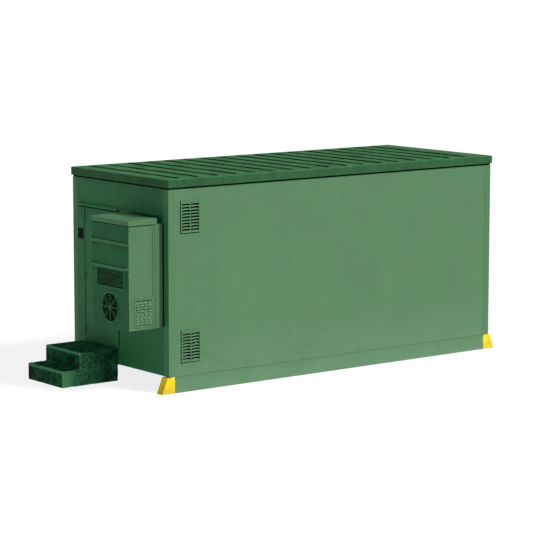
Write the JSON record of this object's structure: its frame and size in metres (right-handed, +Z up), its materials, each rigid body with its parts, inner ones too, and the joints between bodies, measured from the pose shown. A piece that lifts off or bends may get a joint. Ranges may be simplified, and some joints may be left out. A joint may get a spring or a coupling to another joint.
{
  "type": "walk-in standby generator shelter",
  "caption": "Walk-in skid-mounted green steel shelter for a standby generator set, with entry door, steps, louvred vents, wall air conditioner and ribbed flat roof.",
  "frame": {"origin": "centre of the base of the whole object's bounding box, on the ground", "axes": "+X along the shelter from the door wall to the far wall, +Y from the vented long wall to the rear long wall, +Z up"},
  "size_m": [7.181, 2.498, 3.043],
  "materials": {
    "shell_paint": "semi-gloss green enamel",
    "roof_paint": "semi-gloss green enamel",
    "rail_paint": "semi-gloss green enamel",
    "foot_yellow": "safety yellow enamel, scuffed",
    "door_paint": "semi-gloss green enamel",
    "ac_paint": "semi-gloss green enamel",
    "louvre_paint": "semi-gloss green enamel",
    "insulated_board": "white faced insulated board",
    "floor_steel": "grey chequer plate",
    "frame_steel": "dark primer",
    "seal_rubber": "matte",
    "hardware_steel": "zinc plated",
    "plate_black": "matte",
    "step_stone": "rough cast, dark green and black",
    "coil_aluminium": "finned",
    "fan_plastic": "matte",
    "machine_grey": "satin",
    "cabinet_grey": "light grey powder coat",
    "breaker_black": "matte",
    "battery_case": "matte",
    "lamp_lens": "frosted",
    "tank_paint": "satin black",
    "engine_iron": "painted casting",
    "alternator_paint": "satin blue",
    "belt_rubber": "matte",
    "radiator_core": "black finned core",
    "exhaust_steel": "heat tinted",
    "stop_red": "gloss"
  },
  "bodies": {
    "shelter": {"skid_rails": "rail_paint", "corner_feet": "foot_yellow", "floor_frame": "frame_steel", "floor_plate": "floor_steel", "door_end_wall": "shell_paint", "far_end_wall": "shell_paint", "vent_side_wall": "shell_paint", "rear_side_wall": "shell_paint", "wall_liners": "insulated_board", "corner_trims": "shell_paint", "roof_gasket": "seal_rubber", "roof_lid": "roof_paint", "roof_core": "insulated_board", "roof_seams": "roof_paint", "upper_vent": "louvre_paint", "lower_vent": "louvre_paint", "discharge_louvre": "louvre_paint", "intake_louvre": "louvre_paint", "door_frame": "door_paint", "hinge_pins": "hardware_steel", "door_seal": "seal_rubber", "drip_cap": "door_paint", "door_plate": "plate_black", "entry_steps": "step_stone", "ac_cabinet": "ac_paint", "ac_top_cover": "ac_paint", "ac_front_panel": "ac_paint", "ac_grille": "ac_paint", "ac_fan_guard": "ac_paint", "ac_fan_motor": "machine_grey", "ac_compressor": "tank_paint", "ac_condenser_coil": "coil_aluminium", "ac_mount_frame": "ac_paint", "ac_flashing": "door_paint", "partition_wall": "insulated_board", "distribution_cabinet": "cabinet_grey", "breakers": "breaker_black", "battery_rack": "frame_steel", "batteries": "battery_case", "ceiling_lights": "lamp_lens", "engine_block": "engine_iron", "cylinder_head": "engine_iron", "air_cleaner": "machine_grey", "base_tank": "tank_paint", "vibration_mounts": "belt_rubber", "generator_controller": "machine_grey", "alternator": "alternator_paint", "drive_belt": "belt_rubber", "radiator": "radiator_core", "exhaust_silencer": "exhaust_steel"},
    "entry_door": {"door_leaf": "door_paint", "door_liner": "insulated_board"},
    "lever_set": {"door_levers": "hardware_steel"},
    "latch": {"latch_bolt": "hardware_steel"},
    "condenser_fan": {"ac_fan": "fan_plastic"},
    "inner_door": {"partition_door": "cabinet_grey"},
    "cabinet_leaf": {"cabinet_door": "cabinet_grey"},
    "engine_rotor": {"crank_train": "hardware_steel"},
    "radiator_fan": {"cooling_fan": "fan_plastic"},
    "stop": {"stop_button": "stop_red"}
  },
  "joints": [
    {"name": "entry_door_hinge", "type": "hinge", "parent": "shelter", "child": "entry_door", "pos_m": [-2.6475, 0.905, 1.463], "axis": [0, 0, -1], "range_deg": [0, 110]},
    {"name": "lever_turn", "type": "hinge", "parent": "entry_door", "child": "lever_set", "pos_m": [-2.6095, 0.111, 1.46], "axis": [-1, 0, 0], "range_deg": [0, 45], "stiffness_Nm_per_rad": 3, "springref_deg": -34.38},
    {"name": "latch_slide", "type": "slide", "parent": "entry_door", "child": "latch", "axis": [0, 1, 0], "range_m": [0, 0.014]},
    {"name": "ac_fan_spin", "type": "hinge", "parent": "shelter", "child": "condenser_fan", "pos_m": [-3.1525, -0.627, 1.225], "axis": [1, 0, 0], "continuous": true},
    {"name": "inner_door_hinge", "type": "hinge", "parent": "shelter", "child": "inner_door", "pos_m": [-0.3355, 0.935, 1.463], "axis": [0, 0, -1], "range_deg": [0, 100]},
    {"name": "cabinet_door_hinge", "type": "hinge", "parent": "shelter", "child": "cabinet_leaf", "pos_m": [-1.3675, 0.834, 1.47], "axis": [0, 0, 1], "range_deg": [0, 110]},
    {"name": "crank_spin", "type": "hinge", "parent": "shelter", "child": "engine_rotor", "pos_m": [1.2745, 0, 1.2], "axis": [1, 0, 0], "continuous": true},
    {"name": "fan_spin", "type": "hinge", "parent": "shelter", "child": "radiator_fan", "pos_m": [2.2745, 0, 1.56], "axis": [1, 0, 0], "continuous": true},
    {"name": "stop_press", "type": "slide", "parent": "shelter", "child": "stop", "axis": [0, 1, 0], "range_m": [0, 0.008], "stiffness_N_per_m": 400, "springref_m": -0.004}
  ],
  "couplings": [
    {"joint": "latch_slide", "follows": "lever_turn", "m_per_rad": 0.0178},
    {"joint": "fan_spin", "follows": "crank_spin", "ratio": 1.5}
  ]
}
